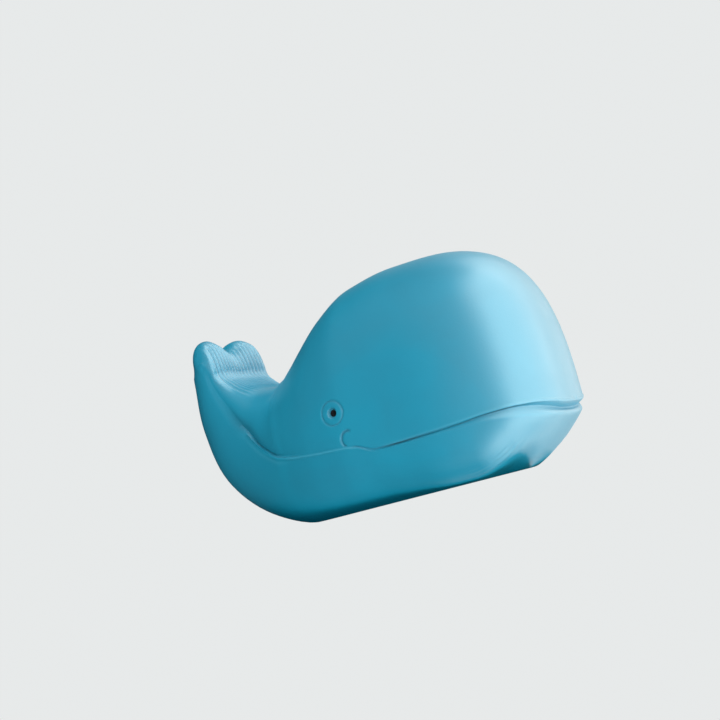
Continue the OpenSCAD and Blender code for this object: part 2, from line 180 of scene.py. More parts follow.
rump_reach = np.max((bend_r + belly_depth(bend_u)) * np.sin(np.pi / 2 * (bend_u - 1)))
straight_l = body_l - rump_reach
rise_l = tail_h - notch_d - spine_h - bend_r
print(f"spine: {straight_l:.1f} mm straight, bend radius {bend_r:.0f} mm, then {rise_l:.0f} mm up")

# %% [markdown]
# ## Lip and fold
# The upper lip overhangs the jaw, and further back the belly panel stands proud of the flank. Both are
# one idea: near the seam, one half of the section is pushed in, deepest just off the seam, and the
# push fades out with height. Cut as part of the loft, the edge stays crisp and has a real undercut.

# %% Sizes of the lip and the fold
lip_depth, lip_end, lip_run_out = 1.8, 4.0, 1.1
fold_depth, fold_at, fold_fade = 1.2, 0.5, 3.6
lip_share = [(0, 1), (0.06, 0.65), (0.135, 0.45), (0.25, 0.32), (0.385, 0.25), (0.595, 0.18), (0.66, 0)]
lip_width = [(0, 1), (0.06, 0.95), (0.135, 0.75), (0.19, 0.55), (0.25, 0.38), (0.385, 0.22), (0.66, 0.18)]
lip_at = [(0, 1.5), (0.03, 1.1), (0.1, 0.5), (0.3, 0.35), (0.66, 0.3)]
fold_share = [(0.68, 0), (0.86, 0.05), (0.92, 0.3), (1, 0.8), (1.1, 1), (1.45, 1), (1.8, 0.6),
              (2.3, 0.2), (3, 0)]


def crease(off, at, fade):
    """Push at a height off the seam: it grows evenly to 1 at the deepest place, then dies away."""
    return np.where(off < at, off / at, np.exp((at - off) / fade))


def notch(off, at, end):
    """Push of a recessed band: it grows evenly to 1 at its deepest place, then an S-curve takes it out."""
    return np.minimum(off / at, 1) * (1 - ramp(off, at, lip_run_out * end))


snout_band = lip_depth * notch(np.arange(6.0), lip_at[0][1], lip_end)
print("band under the lip at the snout, by height in mm:", snout_band.round(2))

# %% [markdown]
# ## Throat
# Below the jaw the throat is hollowed on both sides of a keel, so the jaw's side ends in a ridge that
# leaves the base and bows up towards the chin. Seen from the side the ridge is close to a parabola. The
# distance in front of it sets how far the surface is pushed in: steeply at the ridge, then dying away.

# %% Ridge and hollow of the throat
bow_x, bow_low, bow_l = front_x - 28.0, 1.0, 38.0
throat_depth, throat_lead, throat_edge, throat_fade = 2.6, 1.0, 2.4, 4.0
throat_back, throat_in_l = bow_x - 2.0, 8.0
throat_front, throat_out_l = front_x - 7.0, 12.0
throat_low, throat_high = 2.0, 11.0
keel_w, keel_fade = 7.0, 10.0
throat_way = (-0.35, -0.75, 0.5)


def before_bow(points):
    """Distance in front of and below the ridge, in the side view. The parabola's height difference is
    divided by the length of its slope, which turns it into a distance close to the curve."""
    ahead = np.maximum(points[..., 0] - bow_x, 0)
    return (bow_low + ahead ** 2 / bow_l - points[..., 2]) / np.sqrt(1 + (2 * ahead / bow_l) ** 2)


def throat_window(points):
    """Share of the hollow: none at the keel, near the mouth, at the chin's tip and behind the jaw."""
    x, y, z = np.moveaxis(points, -1, 0)
    ends = span(x, throat_back, throat_back + throat_in_l, throat_front - throat_out_l, throat_front)
    return ends * ramp(np.abs(y), keel_w, keel_w + keel_fade) * (1 - ramp(z, throat_low, throat_high))


def throat_push(points):
    """Depth of the hollow: an S-curve over the ridge's edge, then an exponential fall."""
    off = before_bow(points)
    fall = np.exp(-np.maximum(off - throat_edge, 0) / throat_fade)
    return throat_depth * throat_window(points) * ramp(off, -throat_lead, throat_edge) * fall


print(f"ridge of the throat leaves the base at x = {bow_x:.0f} mm, hollow {throat_depth} mm deep")


# %% Loft as a function of station and angle
def whale_surface(u, side, upper, angle):
    """Point on the skin at station u and an angle up or down from the seam, in millimetres.
    The spine gives the section's place and turn. Half width times cos(angle)^(2/n) runs across, and the
    reach from the seam times sin(angle)^(2/n) runs up or down, where n sets how square the half is.
    Both halves start from a calm line, and the seam's step at the mouth's corner fades out away from it.
    Also returned: the height off the seam, negative below it, and the share of the half width."""
    turn = np.pi / 2 * np.clip(u - 1, 0, 1)
    run = straight_l * np.minimum(u, 1)
    x = front_x - run - bend_r * np.sin(turn)
    z = spine_h + bend_r * (1 - np.cos(turn)) + rise_l * np.clip(u - 2, 0, 1)
    seam, calm = (-(spine_h - mouth_h) * through(line, u) for line in (seam_line, calm_line))
    top = between(head_h - spine_h, -fluke_in, through(back_fall, u))
    top = between(seam, top, nose(run, dome_l, dome_power))
    bottom = between(seam, -belly_depth(u), nose(run, chin_l, chin_power))
    thin = (1 - np.clip(u - 2, 0, 1) ** edge_power) ** (1 / edge_power)
    middle = (top + bottom) / 2
    seam, calm, top, bottom = (between(middle, edge, thin) for edge in (seam, calm, top, bottom))
    half = between(body_w, tail_w, through(side_taper, u)) / 2 * nose(run, snout_l, snout_power)

    power = np.where(upper, through(power_up, u), through(power_low, u))
    across = np.cos(np.radians(angle)) ** (2 / power)
    share = np.sin(np.radians(angle)) ** (2 / power)
    rise = (np.where(upper, top, bottom) - calm) * share + (calm - seam) * (1 - (1 - share) ** seam_fade)
    lip_shape = notch(np.abs(rise), through(lip_at, u), lip_end * through(lip_width, u))
    push_lip = lip_depth * through(lip_share, u) * lip_shape
    push_fold = fold_depth * through(fold_share, u) * crease(np.abs(rise), fold_at, fold_fade)
    left = np.clip(1 - run / snout_l, 0, almost_one)
    lean = half * left ** (snout_power - 1) / snout_l / (1 - left ** snout_power)
    slant = np.sqrt(1 + lean ** 2)
    back = np.where(upper, 0, push_lip * lean / slant)
    narrow = np.where(upper, push_fold * thin, push_lip / slant)

    height = seam + rise + curl * through(curl_share, u) * across ** 2
    lobe = notch_d * np.clip((u - lobe_from) / (3 - lobe_from), 0, 1) ** lobe_power
    lobe_out = lobe * through(lobe_share, across)
    points = np.stack(np.broadcast_arrays(
        x + height * np.sin(turn) - lobe_out * np.cos(turn) - back,
        side * np.maximum(half * across - narrow, least_width * half * across),
        z + height * np.cos(turn) + lobe_out * np.sin(turn)), -1)
    inward = np.stack(np.broadcast_arrays(throat_way[0], throat_way[1] * side, throat_way[2]), -1)
    return points + np.where(upper, 0, throat_push(points))[..., None] * inward, rise, across


crown = whale_surface(np.array(0.5), 1, True, 90.0)[0]
print("crown of the head at", crown.round(1), "mm")

# %% [markdown]
# ## A grid that is fine where the relief is fine
# A moulded line is half a millimetre wide, and most of the body is smooth. An even grid would waste its
# faces, and a subdivided one would be heavy everywhere. So the lines of the grid crowd together at the
# snout, the eye, the seam and the rim of the fluke: short tables say how far they have come by which line.

# %% Lines of the grid
eye_back, eye_angle = 64.6, 9.2
eye_u = eye_back / straight_l
snout_to, snout_lines, snout_crowd = 0.08, 26, 2.2
fluke_lines = 40
lines_round = 88
# How square the halves of the head and those of the tail are taken to be for the spacing
square_up, square_low, square_tail = 2.5, 2.8, 3.0
tail_from, tail_to, tail_crowd = 1.05, 1.6, 1.5
# Station reached after so many lines: the throat, the cheek, the eye with the smile, the rump, the bend
line_of_station = [(0, snout_to), (80, 0.38), (108, 0.62), (160, 0.8), (172, 1), (206, 2)]
# Share of the reach above or below the seam after so many lines, and the rest is even in angle
line_of_rise = [(0, 0), (30, 0.14), (62, 0.35)]
line_of_fall = [(0, 0), (28, 0.27), (76, 0.97)]


def by_table(table):
    """One value for each line, evenly spaced between the places of a table of (line, value)."""
    line, value = np.array(table).T
    return np.interp(np.arange(line[-1] + 1), line, value)


def head_angles(table, power):
    """Angles from seam to middle. A share s of the reach lies at the angle whose sine is s^(n/2)."""
    first = np.degrees(np.arcsin(by_table(table) ** (power / 2)))
    return np.concatenate([first, np.linspace(first[-1], 90, lines_round + 2 - len(first))[1:]])


stations = np.concatenate([
    snout_to * np.linspace(0, 1, snout_lines) ** snout_crowd,
    by_table(line_of_station)[1:],
    2 + np.sin(np.linspace(0, np.pi / 2, fluke_lines))[1:]])
head_up, head_low = head_angles(line_of_rise, square_up), head_angles(line_of_fall, square_low)
tail_across = 1 - np.linspace(0, 1, lines_round + 1) ** tail_crowd
tail_both = np.degrees(np.arccos(tail_across ** (square_tail / 2)))
print(len(stations), "stations and", 4 * lines_round, "lines round the body")

# %% [markdown]
# Each ring starts at the middle of the back, goes down the right side to the belly and up the left.
# Towards the tail both halves change over to the same angles, so that they meet point for point at the
# rim of the fluke, where the loft closes.

# %% Places on the grid
quarter = np.arange(lines_round + 1)
line = np.concatenate([quarter[::-1], quarter[1:], quarter[-2:0:-1], quarter[:-1]])
ring = np.arange(4 * lines_round)
upper = (ring <= lines_round) | (ring >= 3 * lines_round)
side = np.where(ring < 2 * lines_round, -1.0, 1.0)
u = stations[:, None]
head_angle = np.where(upper, head_up[line], head_low[line])
angle = between(head_angle, tail_both[line], ramp(u, tail_from, tail_to))
skin, rise, across = whale_surface(u, side, upper, angle)
print("grid of", skin.shape[:2], "points")

# %% [markdown]
# ## Relief of the face
# The eye is a ring pressed into the cheek with a small socket for the ink, and a short hooked line
# above the corner of the mouth makes the smile. On the real mould these are cut with a small ball
# tool, so each is a groove with a bell-shaped section, at a distance from a circle or an arc.
# Each relief is a height in millimetres over the whole grid, and only their sum moves the points.

# %% Eye ring, socket and smile line
eye_ring_r, eye_ring_depth, eye_ring_w = 3.8, 0.3, 0.24
pupil_r, socket_r, socket_depth, socket_soft = 1.05, 1.6, 1.2, 0.15
smile_ahead, smile_below, smile_r = 3.8, 9.0, 2.6
smile_bearings = (60, 85, 218, 248)
smile_depth, smile_w = 0.5, 0.34

eye_right, eye_left = (whale_surface(np.array(eye_u), hand, True, eye_angle)[0] for hand in (-1, 1))
eye_centre = np.where((side < 0)[:, None], eye_right, eye_left)
from_eye = np.linalg.norm(skin - eye_centre, axis=-1)


def eye_relief():
    """Groove at the ring's radius, and a socket with a rounded rim at the middle."""
    groove = eye_ring_depth * swell(from_eye - eye_ring_r, eye_ring_w)
    socket = socket_depth * (1 - ramp(from_eye, pupil_r - socket_soft, socket_r + socket_soft))
    return -groove - socket


def smile_relief():
    """Groove along an arc in front of and below the eye, fading out at the arc's two ends."""
    ahead = skin[..., 0] - eye_centre[..., 0] - smile_ahead
    above = skin[..., 2] - eye_centre[..., 2] + smile_below
    bearing = np.degrees(np.arctan2(above, ahead)) % 360
    along = span(bearing, *smile_bearings)
    return -smile_depth * along * swell(np.hypot(ahead, above) - smile_r, smile_w)


face = eye_relief() + smile_relief() * (rise > 0)
print(f"face relief: {face.min():.2f} to {face.max():.2f} mm")

# %% [markdown]
# ## Relief of the mouth, the throat and the tail
# Below the notch of the mouth the jaw swells into a soft lower lip. Fine pleats run beside the throat,
# and the inner face of the fluke has upright ribs. These are waves across the surface, let in and out
# by smooth windows so that no pleat starts or stops abruptly.

# %% Lip, pleats and ribs
lower_lip, lower_lip_w, lower_lip_soft = 0.4, 1.5, 3
lip_bead, lip_bead_at, lip_bead_w = 0.22, 0.5, 0.35
belly_line, belly_line_w, belly_line_from = 0.16, 0.35, (0.6, 0.68)
seam_groove, seam_groove_w, seam_stations = 0.3, 0.26, (0.25, 0.45, 0.95, 1.15)
shallow, shallow_stations = 0.75, (0.65, 0.68, 0.88, 0.94)
# Pleats lie within some distances from the ridge, below a height, beside the keel and from a place on
pleat, pleat_pitch = 0.09, 0.9
pleat_off, pleat_below, pleat_beside, pleat_x = (-4, -1.5, 0, 1.5), (6, 10), (18, 24), (-4, 3)
rib, rib_pitch, rib_stations, rib_rim = 0.3, 2.1, (1.5, 1.75, 2.75, 2.97), (0.78, 0.92)
below, above_seam = np.maximum(-rise, 0), np.maximum(rise, 0)
mouth = through(lip_share, u)


def lip_relief():
    """Swelling of the lower lip below the notch, and a fine bead along the edge of the upper lip."""
    size = through(lip_width, u)
    off = below - lip_run_out * lip_end * size
    lower = lower_lip * swell(off, lower_lip_w * size * np.where(off < 0, 1, lower_lip_soft)) * (~upper)
    bead = lip_bead * swell(above_seam - lip_bead_at, lip_bead_w) * upper
    return mouth * (lower + bead)


def belly_line_relief():
    """Fine groove on the seam from the cheek to the tail, and below it the belly panel's soft edge."""
    panel = ramp(u, *belly_line_from) * swell(below - 2 * belly_line_w, belly_line_w) * (~upper)
    depth = seam_groove * (1 - shallow * span(u, *shallow_stations))
    return span(u, *seam_stations) * (belly_line * panel - depth * swell(rise, seam_groove_w))


def pleat_relief():
    """Waves along the throat's ridge, counted by the distance from it."""
    off = before_bow(skin)
    x, y, z = np.moveaxis(skin, -1, 0)
    window = span(off, *pleat_off) * (1 - ramp(z, *pleat_below)) * ramp(np.abs(y), *pleat_beside)
    window = window * ramp(x - bow_x, *pleat_x) * (~upper)
    return pleat * window * np.cos(2 * np.pi * off / pleat_pitch)


def rib_relief():
    """Waves across the inner face of the fluke, level at its rims and at its root."""
    window = span(u, *rib_stations) * (1 - ramp(across, *rib_rim))
    return rib * window * np.cos(2 * np.pi * skin[..., 1] / rib_pitch) * upper


body = lip_relief() + belly_line_relief() + pleat_relief() + rib_relief()
print(f"mouth, throat and tail relief: {body.min():.2f} to {body.max():.2f} mm")

# %% [markdown]
# ## Moving the points and resting on the belly
# The relief moves each point along the surface's normal, the cross product of the grid's two
# directions. Soft rubber is never quite even, so a very slight long wave is added. The belly is then
# pressed flat where the toy stands. A plain cut would leave a knife-sharp edge, so the press is soft.

# %% Apply the relief
wave, wave_l, wave_stations = 0.07, 31.0, (0.02, 0.2, 2.6, 2.9)
wave_across = np.array([[2.0, -0.5], [1.1, 1.3], [0.7, 1.9]])
base_soft = 0.35
least_area = 1e-9


def outward(points):
    """Unit normals of a closed-ring grid: difference along the rows crossed with that along the rings."""
    round_step = np.roll(points, -1, 1) - np.roll(points, 1, 1)
    normal = np.cross(np.gradient(points, axis=0), round_step)
    return normal / np.maximum(np.linalg.norm(normal, axis=-1, keepdims=True), least_area)


def soft_floor(z):
    """Height pressed to 0 and above: the mean of z and the root of z squared plus the softness squared,
    lowered so that the belly, which was made a little too deep, comes to lie at exactly 0."""
    lowest = np.hypot(base_cut, base_soft) - base_cut
    return np.maximum((z + np.hypot(z, base_soft) - lowest) / 2, 0)


unevenness = wave * np.prod(np.sin(skin @ wave_across / wave_l), axis=-1) * span(u, *wave_stations)
relief = face + body + unevenness
skin = skin + outward(skin) * relief[..., None]
skin[..., 2] = soft_floor(skin[..., 2])
print(f"relief of {relief.min():.2f} to {relief.max():.2f} mm, lowest point at {skin[..., 2].min():.3f} mm")

# %% [markdown]
# ## Marks for painted shade and highlights
# Deep lines and the band under the lip get painted shade, lines under an overhang get painted shade, and
# proud edges get a painted highlight. A material can't know where these lie. A dirt or pointiness effect
# would have to guess it, but here the loft knows every point's station and height off the seam, so three
# marks are stored on the points.

# %% Painted shade in grooves and under overhangs, painted highlights on edges
groove_full = 0.4
# The recessed band under the lip gets at least this share of the groove mark's painted shade
band_shade_share = 0.6
# Stripes along the seam for painted shade and painted highlights: strength, stations, height off the seam and
# width
# Painted shade: a dark line under the upper lip, and a dark line with a broad shaded band beside the fold
under_lip_shade = (1, (0.02, 0.15, 0.5, 0.6), -0.2, 0.24)
fold_line_shade = (0.65, (0.95, 1.04, 1.15, 1.4), 0.5, 0.4)
fold_shade = (0.4, (1.02, 1.25, 1.4, 1.8), 1.4, 1.6)
# Painted highlights: a pale line along the edge of the upper lip and along the proud edge of the belly panel
lip_edge_highlight = (1, (0.02, 0.1, 0.5, 0.6), 0.4, 0.25)
panel_edge_highlight = (1, (0.64, 0.68, 0.92, 1), -0.5, 0.3)
panel_bow_highlight = (0.7, (0.92, 1.02, 1.2, 1.5), -1.9, 0.5)


def stripe(strength, within, height, width):
    """Bell curve across a line at a height off the seam, on that side of it and within some stations."""
    off, half = (above_seam, upper) if height > 0 else (below, ~upper)
    return strength * span(u, *within) * swell(off - abs(height), width) * half


# The groove mark is painted shade: it darkens the colour in grooves, in the eye's ring and socket and in the
# band under the lip, and makes them rougher
band = notch(below, through(lip_at, u), lip_end * through(lip_width, u)) * mouth * (~upper)
groove = np.clip(-(face + body) / groove_full, band_shade_share * band, 1)
shade = np.clip(sum(stripe(*sizes) for sizes in (under_lip_shade, fold_line_shade, fold_shade)), 0, 1)
edge = np.clip(sum(stripe(*sizes) for sizes in (lip_edge_highlight, panel_edge_highlight, panel_bow_highlight)), 0, 1)
largest = [round(float(values.max()), 2) for values in (groove, shade, edge)]
print("largest groove, shade and edge marks:", largest)

# %% [markdown]
# ## Closing the mesh
# The first ring is a single point at the snout. In the last ring the upper and the lower half share
# their points, so the rim of the fluke is closed without a seam. At its two corners, where the seams
# along the sides end, two points fall together and the faces there are triangles.


# %% Mesh from the grid
def new_object(name, points, faces):
    """Smooth mesh object in metres at the origin, from points in millimetres."""
    mesh = bpy.data.meshes.new(name)
    mesh.from_pydata((np.asarray(points) * MM).tolist(), [], faces)
    mesh.polygons.foreach_set("use_smooth", np.full(len(mesh.polygons), True))
    mesh.update()
    thing = bpy.data.objects.new(name, mesh)
    bpy.context.scene.collection.objects.link(thing)
    return thing


def store_mark(thing, name, values):
    """Keeps one value for each point of a mesh, under a name that a material can read."""
    marks = thing.data.attributes.new(name, "FLOAT", "POINT")
    marks.data.foreach_set("value", values.astype(np.float32))


def whale_faces(rows, columns):
    """Triangles round the snout, then quads between rings. Point 0 is the snout, and the rings follow
    one after the other. The last ring's lower half and its corners point to its upper half."""
    n = columns // 4
    ids = 1 + np.arange((rows - 1) * columns).reshape(rows - 1, columns)
    ids[-1, n + 1:2 * n + 1] = ids[-1, n - 1::-1]
    ids[-1, 2 * n + 1:3 * n] = ids[-1, 4 * n - 1:3 * n:-1]
    ids[-1, [n, 3 * n]] = ids[-1, [n - 1, 3 * n + 1]]
    after = np.roll(ids, -1, 1)
    tips = np.stack([np.zeros(columns, int), ids[0], after[0]], -1)
    quads = np.stack([ids[:-1], ids[1:], after[1:], after[:-1]], -1).reshape(-1, 4)
    return tips, quads


tips, quads = whale_faces(*skin.shape[:2])
used, fresh = np.unique(np.concatenate([tips.ravel(), quads.ravel()]), return_inverse=True)
faces = fresh[:tips.size].reshape(-1, 3).tolist() + fresh[tips.size:].reshape(-1, 4).tolist()
faces = [list(dict.fromkeys(face)) for face in faces]
whale = new_object("whale_skin", np.concatenate([skin[0, :1], skin[1:].reshape(-1, 3)])[used], faces)
# The groove and shade marks carry painted shade, the edge mark a painted highlight
for name, values in (("groove", groove), ("shade", shade), ("edge", edge)):
    store_mark(whale, name, np.concatenate([[0], values[1:].ravel()])[used])
print(whale.name, len(whale.data.polygons), "faces")

# %% [markdown]
# ## A seat for the squeaker
# On the bench the squeaker is pressed into a rubber neck from below, so the belly has a round pocket
# with a step for the flange. Cutting it with a Boolean keeps the body's grid as it is elsewhere. The
# cutter is a turned shape: a profile carried once round a circle, closed by a point at each end.


# %% Turned shapes and the pocket
def turned(profile, count):
    """Surface of revolution about Z, from a profile of (radius, height) that runs upwards. Its first
    and last radius are 0 and make single points, and every other place makes a ring. The rings start
    half a step round, so that no point lies in the whale's middle plane."""
    radius, height = np.array(profile, float).T
    spin = 2 * np.pi * (np.arange(count) + 0.5) / count
    ring = np.stack([np.cos(spin), np.sin(spin), np.zeros(count)], -1)
    rings = radius[1:-1, None, None] * ring + height[1:-1, None, None] * np.array([0, 0, 1])
    ends = np.array([[0, 0, height[0]], [0, 0, height[-1]]])
    ids = 2 + np.arange(rings.shape[0] * count).reshape(-1, count)
    after = np.roll(ids, -1, 1)
    quads = np.stack([ids[:-1], after[:-1], after[1:], ids[1:]], -1).reshape(-1, 4)
    low = np.stack([np.zeros(count, int), after[0], ids[0]], -1)
    high = np.stack([np.ones(count, int), ids[-1], after[-1]], -1)
    return np.concatenate([ends, rings.reshape(-1, 3)]), low.tolist() + high.tolist() + quads.tolist()


cup_low, cup_high = (np.array(corner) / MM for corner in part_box("squeaker_cup"))
squeak_x = (cup_low[0] + cup_high[0]) / 2
flange_r = (cup_high[0] - cup_low[0]) / 2
cup_r, flange_t, neck_h, neck_gap, fit = 7.0, 1.6, 7.0, 1.2, 0.03
flange_top = cup_low[2] + flange_t
pocket_low, pocket_high = -2.0, cup_high[2] + fit
pocket = [(0, pocket_low), (flange_r + fit, pocket_low), (flange_r + fit, flange_top),
          (cup_r + fit, flange_top), (cup_r + fit, neck_h), (cup_r + neck_gap, neck_h),
          (cup_r + neck_gap, pocket_high), (0, pocket_high)]
pocket_sides = 96
cutter_points, cutter_faces = turned(pocket, pocket_sides)
cutter = new_object("pocket_cutter", cutter_points + [squeak_x, 0, 0], cutter_faces)
print(f"pocket at x = {squeak_x:.1f} mm, flange radius {flange_r:.1f} mm")


# %% Cut the pocket
def cut(piece, tool):
    """Takes the tool's volume out of the piece, writes the result into its mesh and drops the tool."""
    boolean = piece.modifiers.new("pocket", "BOOLEAN")
    boolean.object, boolean.operation, boolean.solver = tool, "DIFFERENCE", "EXACT"
    graph = bpy.context.evaluated_depsgraph_get()
    result = bpy.data.meshes.new_from_object(piece.evaluated_get(graph))
    piece.modifiers.clear()
    piece.data = result
    bpy.data.objects.remove(tool)


sharp_angle = np.radians(50)
cut(whale, cutter)
whale.data.set_sharp_from_angle(angle=sharp_angle)
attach(whale, "whale")
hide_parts("whale_body")
print(whale.name, len(whale.data.polygons), "faces after the pocket")

# %% [markdown]
# ## Pupils
# A drop of ink sets in each socket: it fills the bottom, climbs the wall a little and keeps a soft
# crown. A turned lens does that. It is built round the eye's own normal, so that it lies square in
# the cheek on both sides.

# %% Drops of ink
ink_climb, ink_foot = 0.1, 0.05
ink_r = pupil_r + ink_climb
ink_sink, ink_crown = 0.95, 0.1
crown_rings, ink_sides = 9, 48
lens = [(0, -socket_depth), (ink_r, -socket_depth + ink_foot)]
lens += [(ink_r * np.sin(tilt), -ink_sink - ink_crown * (1 - np.cos(tilt)))
         for tilt in np.linspace(np.pi / 2, 0, crown_rings)]


def unit(vector):
    """Vector of length 1 in the same direction."""
    return np.array(vector, float) / np.linalg.norm(vector)


def eye_axes(hand):
    """Place of the eye and three unit directions: two in the cheek and one straight out of it. They
    come from two places close by, one ahead of the eye and one over it. The right side's hand is -1."""
    near_u, near_angle = 0.01, 1.0
    at = np.array([eye_u, eye_u - near_u, eye_u])
    here, ahead, over = whale_surface(at, hand, True, eye_angle + np.array([0, 0, near_angle]))[0]
    forward = unit(ahead - here)
    out = hand * unit(np.cross(over - here, forward))
    return here, np.stack([np.cross(out, forward), -forward, out])


pupils = []
for name, hand in (("pupil_right", -1), ("pupil_left", 1)):
    here, axes = eye_axes(hand)
    lens_points, lens_faces = turned(lens, ink_sides)
    drop = new_object(name + "_ink", here + lens_points @ axes, lens_faces)
    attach(drop, "whale")
    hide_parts(name)
    pupils.append(drop)
print("pupils at", [(np.array(drop.bound_box).mean(0) / MM).round(1).tolist() for drop in pupils])

# %% [markdown]
# ## A shared grain for moulded surfaces
# Nearly every piece comes out of a mould: rubber is faintly mottled by its dye and carries a fine grain,
# and plastic has the same things weaker and finer. One node group gives the grain's height, a slow
# mottle and a mask of tiny specks, and each material sets its own sizes. Texture scales count per metre.


# %% Node helpers and the grain group
def add(tree, kind, **values):
    """New node in a tree, with inputs set by name. An underscore in a name stands for a space."""
    node = tree.nodes.new(kind)
    for name, value in values.items():
        node.inputs[name.replace("_", " ")].default_value = value
    return node


def mix_colour(tree, share, a, b):
    """Mix node for colours: a and b are colours or outputs, and share is an output. The node has sockets
    for each kind of value, and its inputs 6 and 7 and its output 2 are those for colours."""
    node = tree.nodes.new("ShaderNodeMix")
    node.data_type = "RGBA"
    tree.links.new(share, node.inputs["Factor"])
    for socket, value in ((node.inputs[6], a), (node.inputs[7], b)):
        if isinstance(value, bpy.types.NodeSocket):
            tree.links.new(value, socket)
        else:
            socket.default_value = (*value, 1)
    return node.outputs[2]


def remap(tree, value, low, high, to_low, to_high):
    """Map Range node: low to high becomes to_low to to_high, and stays inside."""
    node = add(tree, "ShaderNodeMapRange", From_Min=low, From_Max=high, To_Min=to_low, To_Max=to_high)
    tree.links.new(value, node.inputs["Value"])
    return node.outputs["Result"]


grain = bpy.data.node_groups.new("moulded_grain", "ShaderNodeTree")
for name in ("Grain Scale", "Mottle Scale", "Speck Scale"):
    grain.interface.new_socket(name, in_out="INPUT", socket_type="NodeSocketFloat")
for name in ("Height", "Mottle", "Specks"):
    grain.interface.new_socket(name, in_out="OUTPUT", socket_type="NodeSocketFloat")
print("grain group with", len(grain.interface.items_tree), "sockets")

# %% Inside of the grain group
speck_core, speck_rim = 0.05, 0.16
given, out = grain.nodes.new("NodeGroupInput"), grain.nodes.new("NodeGroupOutput")
where = grain.nodes.new("ShaderNodeTexCoord")
fine = add(grain, "ShaderNodeTexNoise", Detail=3.0, Roughness=0.6)
slow = add(grain, "ShaderNodeTexNoise", Detail=4.0, Roughness=0.5, Distortion=0.4)
dots = grain.nodes.new("ShaderNodeTexVoronoi")
for node, name in ((fine, "Grain Scale"), (slow, "Mottle Scale"), (dots, "Speck Scale")):
    grain.links.new(where.outputs["Object"], node.inputs["Vector"])
    grain.links.new(given.outputs[name], node.inputs["Scale"])
grain.links.new(fine.outputs["Fac"], out.inputs["Height"])
grain.links.new(slow.outputs["Fac"], out.inputs["Mottle"])
specks = remap(grain, dots.outputs["Distance"], speck_core, speck_rim, 1.0, 0.0)
grain.links.new(specks, out.inputs["Specks"])
print("grain nodes:", len(grain.nodes))

# %% [markdown]
# ## Materials
# A material is a Principled shader fed by the grain. Values that are the same all over, such as the
# index of refraction, are set on the shader's own sockets. Moulded rubber is matte with a soft gloss
# at a shallow angle, so its roughness is middling, and it is rougher still down in its grooves.

# %% One recipe for moulded materials
mottle_range = (0.3, 0.7)


def moulded(name, dark, pale, rough, scales, bump, depth, **constants):
    """Material whose colour runs from dark to pale with the mottle, whose roughness runs over a range,
    and whose grain of a given depth in metres lifts the normal."""
    material = bpy.data.materials.new(name)
    material.use_nodes = True
    tree = material.node_tree
    shader = tree.nodes["Principled BSDF"]
    for socket, value in constants.items():
        shader.inputs[socket.replace("_", " ")].default_value = value
    texture = tree.nodes.new("ShaderNodeGroup")
    texture.node_tree = grain
    for socket, value in zip(("Grain Scale", "Mottle Scale", "Speck Scale"), scales):
        texture.inputs[socket].default_value = value
    mottle = remap(tree, texture.outputs["Mottle"], *mottle_range, 0.0, 1.0)
    colour = mix_colour(tree, mottle, dark, pale)
    roughness = remap(tree, texture.outputs["Mottle"], *mottle_range, *rough)
    tree.links.new(roughness, shader.inputs["Roughness"])
    relief = add(tree, "ShaderNodeBump", Strength=bump, Distance=depth)
    tree.links.new(texture.outputs["Height"], relief.inputs["Height"])
    tree.links.new(relief.outputs["Normal"], shader.inputs["Normal"])
    tree.links.new(colour, shader.inputs["Base Color"])
    return material, texture, colour, roughness


def mark(tree, name):
    """Output of a mark that is stored on the mesh's points."""
    node = tree.nodes.new("ShaderNodeAttribute")
    node.attribute_name = name
    return node.outputs["Fac"]


print("colour and roughness follow the mottle from", mottle_range[0], "to", mottle_range[1])

# %% Rubber of the body
rubber_dark, rubber_pale = (0.002, 0.335, 0.52), (0.004, 0.37, 0.565)
# The groove and shade tones are painted shade, the edge tone a painted highlight, and the speck tone is the
# dye's own specks
groove_shade_blue, speck_blue = (0.004, 0.12, 0.2), (0.05, 0.41, 0.63)
edge_highlight_blue, shade_blue = (0.08, 0.52, 0.72), (0.002, 0.05, 0.08)
rubber, texture, colour, roughness = moulded(
    "skin_rubber", rubber_dark, rubber_pale, rough=(0.41, 0.34), scales=(1900, 55, 900),
    bump=0.12, depth=0.0002, IOR=1.6, Specular_IOR_Level=0.9)
tree = rubber.node_tree
shader = tree.nodes["Principled BSDF"]
# The speck layer is the dye's own; the groove and shade layers paint shade, and the edge layer paints a
# highlight
# Each layer: where it lies, from which value of that on, its share at full value, and its colour
layers = [(texture.outputs["Specks"], 0.0, 0.25, speck_blue), (mark(tree, "groove"), 0.15, 0.4, groove_shade_blue),
          (mark(tree, "edge"), 0.0, 0.4, edge_highlight_blue), (mark(tree, "shade"), 0.0, 0.8, shade_blue)]
for source, start, share, tone in layers:
    colour = mix_colour(tree, remap(tree, source, start, 1.0, 0.0, share), colour, tone)
tree.links.new(colour, shader.inputs["Base Color"])
groove_rough = (0.3, 0.9)
dull = tree.nodes.new("ShaderNodeMath")
dull.operation = "MAXIMUM"
tree.links.new(roughness, dull.inputs[0])
tree.links.new(remap(tree, mark(tree, "groove"), 0.0, 1.0, *groove_rough), dull.inputs[1])
tree.links.new(dull.outputs["Value"], shader.inputs["Roughness"])
whale.data.materials.clear()
whale.data.materials.append(rubber)
print("rubber nodes:", len(tree.nodes))

# %% Ink of the pupils
ink_dark, ink_pale = (0.008, 0.008, 0.01), (0.02, 0.02, 0.024)
ink = moulded("pupil_ink", ink_dark, ink_pale, rough=(0.3, 0.22), scales=(2500, 900, 3000),
              bump=0.1, depth=0.00005, IOR=1.5)[0]
for drop in pupils:
    drop.data.materials.append(ink)
print("ink on", [drop.name for drop in pupils])

# %% [markdown]
# ## Squeaker
# The squeaker's solids are already the right shape, so they only get their finish: milky moulded
# plastic for the cup, cap and block, a grey wedge, and amber film for the reed.

